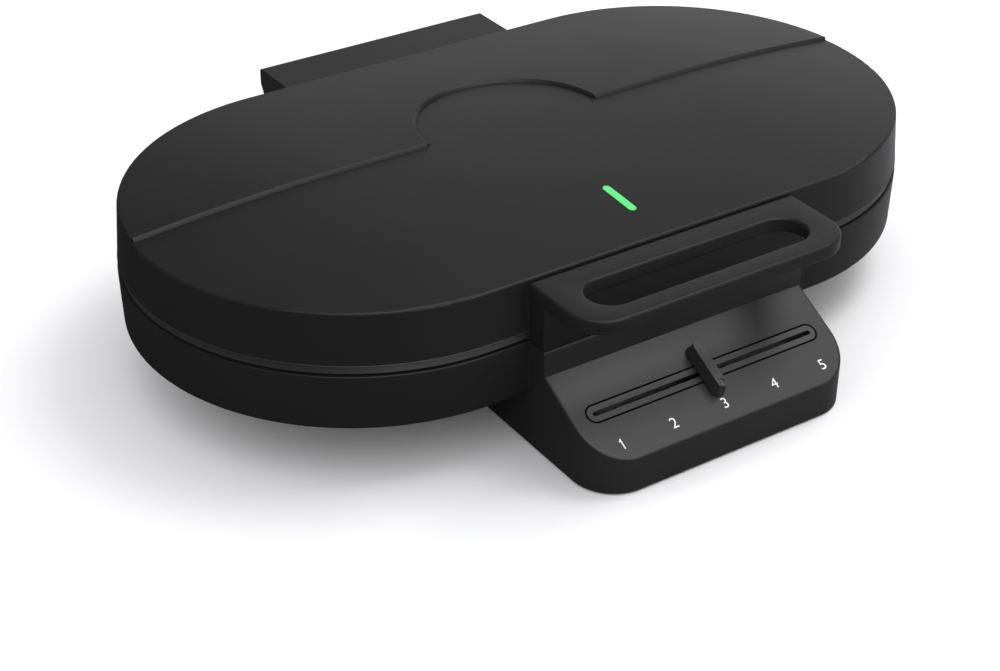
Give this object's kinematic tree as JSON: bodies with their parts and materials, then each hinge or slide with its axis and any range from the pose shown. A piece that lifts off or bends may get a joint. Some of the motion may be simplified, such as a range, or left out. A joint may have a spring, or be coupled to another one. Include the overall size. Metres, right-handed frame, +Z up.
{
  "type": "heart waffle maker",
  "caption": "Hinged waffle maker with paired five-heart baking plates, a front grip and a sliding temperature control; its lid opens on a rear hinge.",
  "frame": {"origin": "on the table, under the middle of the closed appliance's bounding box", "axes": "+X along the casing to the right as seen from the console, +Y to the hinge, +Z up"},
  "size_m": [0.36, 0.2764, 0.0809],
  "materials": {
    "casing_black": "fine matt black",
    "trim_black": "matt black",
    "frame_resin": "heat-resistant resin, matt",
    "terminal_resin": "moulded, matt",
    "relay_case": "moulded",
    "board": "lacquered",
    "lens": "translucent, lit",
    "rubber": "moulded",
    "bush_brass": "turned",
    "plate_coat": "cast, dark non-stick coat",
    "reflector_sheet": "rolled sheet",
    "steel": "zinc plated"
  },
  "bodies": {
    "base": {"base_shell": "casing_black", "console_housing": "casing_black", "console_cover": "casing_black", "console_screws": "steel", "cover_screws": "steel", "slot_trim": "trim_black", "slide_track": "steel", "control_board": "board", "power_relay": "relay_case", "board_screws": "steel", "terminal_block": "terminal_resin", "cord_grommet": "rubber", "cord_clamp": "frame_resin", "cord_clamp_screws": "steel", "lower_plate_frame": "frame_resin", "lower_baking_plate": "plate_coat", "lower_plate_screws": "steel", "lower_heating_element": "steel", "lower_element_clamps": "steel", "lower_reflector": "reflector_sheet", "lower_reflector_screws": "steel", "lower_thermal_fuse": "steel", "temperature_sensor": "steel", "hinge_pins": "steel", "rubber_feet": "rubber"},
    "lid": {"lid_shell": "casing_black", "lid_handle": "casing_black", "handle_screws": "steel", "indicator_lens": "lens", "indicator_board": "board", "upper_plate_frame": "frame_resin", "upper_baking_plate": "plate_coat", "upper_plate_screws": "steel", "upper_heating_element": "steel", "upper_element_clamps": "steel", "upper_reflector": "reflector_sheet", "upper_reflector_screws": "steel", "upper_thermal_fuse": "steel", "hinge_bushes": "bush_brass"},
    "slider": {"slider_knob": "trim_black", "slider_carriage": "trim_black"}
  },
  "joints": [
    {"name": "lid_hinge", "type": "hinge", "parent": "base", "child": "lid", "pos_m": [0, 0.12218, 0.0512], "axis": [-1, 0, 0], "range_deg": [0, 100]},
    {"name": "slider_slide", "type": "slide", "parent": "base", "child": "slider", "axis": [1, 0, 0], "range_m": [-0.05, 0.05]}
  ]
}
